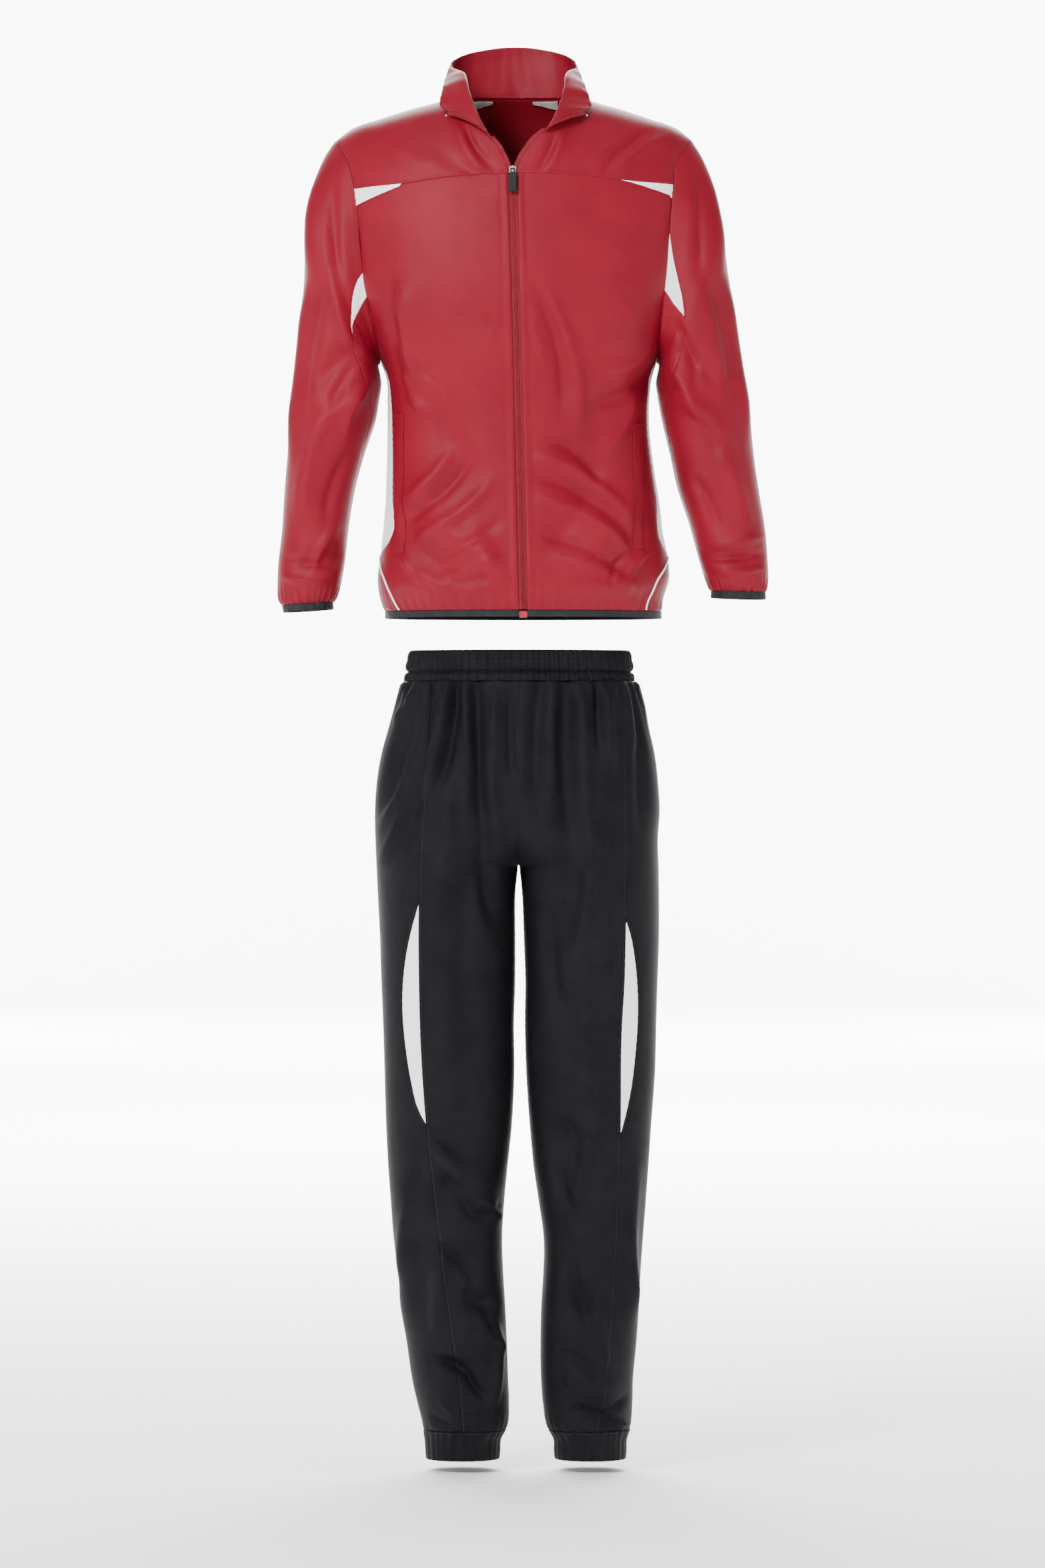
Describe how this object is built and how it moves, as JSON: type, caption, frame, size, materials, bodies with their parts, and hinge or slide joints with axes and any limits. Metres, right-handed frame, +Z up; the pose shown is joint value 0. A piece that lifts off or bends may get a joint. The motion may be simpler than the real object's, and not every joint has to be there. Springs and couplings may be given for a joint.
{
  "type": "tracksuit",
  "caption": "Worn-shape tracksuit: red zipped jacket with turned-out stand collar and white inserts, and black elastic-waist trousers with white knee crescents.",
  "frame": {"origin": "on the wearer's spine, at the height where the shoulder seam meets the side of the neck", "axes": "+Z up, +X to the right as seen from in front, +Y to the wearer's back, so the front faces -Y"},
  "size_m": [0.6437, 0.2632, 1.8621],
  "materials": {
    "red_cloth": "satin woven cloth",
    "dark_red_facing": "matt woven cloth",
    "white_cloth": "satin woven cloth",
    "black_knit": "smooth knit with a soft sheen",
    "black_binding": "elastic binding",
    "grey_tape": "woven tape",
    "zip_tape": "zip tape with moulded teeth",
    "box_plastic": "moulded",
    "bright_metal": "die-cast, plated",
    "dark_rubber": "matt moulded"
  },
  "bodies": {
    "suit": {"back_neck_facing": "dark_red_facing", "chest_insert_left": "white_cloth", "chest_insert_right": "white_cloth", "collar": "red_cloth", "crescent_left": "white_cloth", "crescent_right": "white_cloth", "cuff_binding_left": "black_binding", "cuff_binding_right": "black_binding", "hem_binding": "black_binding", "jacket_back": "red_cloth", "jacket_front_left": "red_cloth", "jacket_front_right": "red_cloth", "jacket_yoke_left": "red_cloth", "jacket_yoke_right": "red_cloth", "neck_tape_left": "grey_tape", "neck_tape_right": "grey_tape", "piping_left": "white_cloth", "piping_right": "white_cloth", "pocket_welt_left": "red_cloth", "pocket_welt_right": "red_cloth", "side_panel_left": "white_cloth", "side_panel_right": "white_cloth", "sleeve_left": "red_cloth", "sleeve_right": "red_cloth", "trouser_back_left": "black_knit", "trouser_back_right": "black_knit", "trouser_front_left": "black_knit", "trouser_front_right": "black_knit", "trouser_hem_left": "black_knit", "trouser_hem_right": "black_knit", "trouser_side_left": "black_knit", "trouser_side_right": "black_knit", "underarm_insert_left": "white_cloth", "underarm_insert_right": "white_cloth", "waistband": "black_knit", "zip_box": "box_plastic", "zip_chain": "zip_tape", "zip_edge_left": "zip_tape", "zip_edge_right": "zip_tape", "zip_slider": "bright_metal", "zip_top_stop_left": "bright_metal", "zip_top_stop_right": "bright_metal"},
    "puller": {"zip_pull_tab": "dark_rubber"}
  },
  "joints": [
    {"name": "pull_tab_hinge", "type": "hinge", "parent": "suit", "child": "puller", "pos_m": [-0.00688, -0.12195, -0.10029], "axis": [-1, 0, 0], "range_deg": [0, 150]}
  ]
}
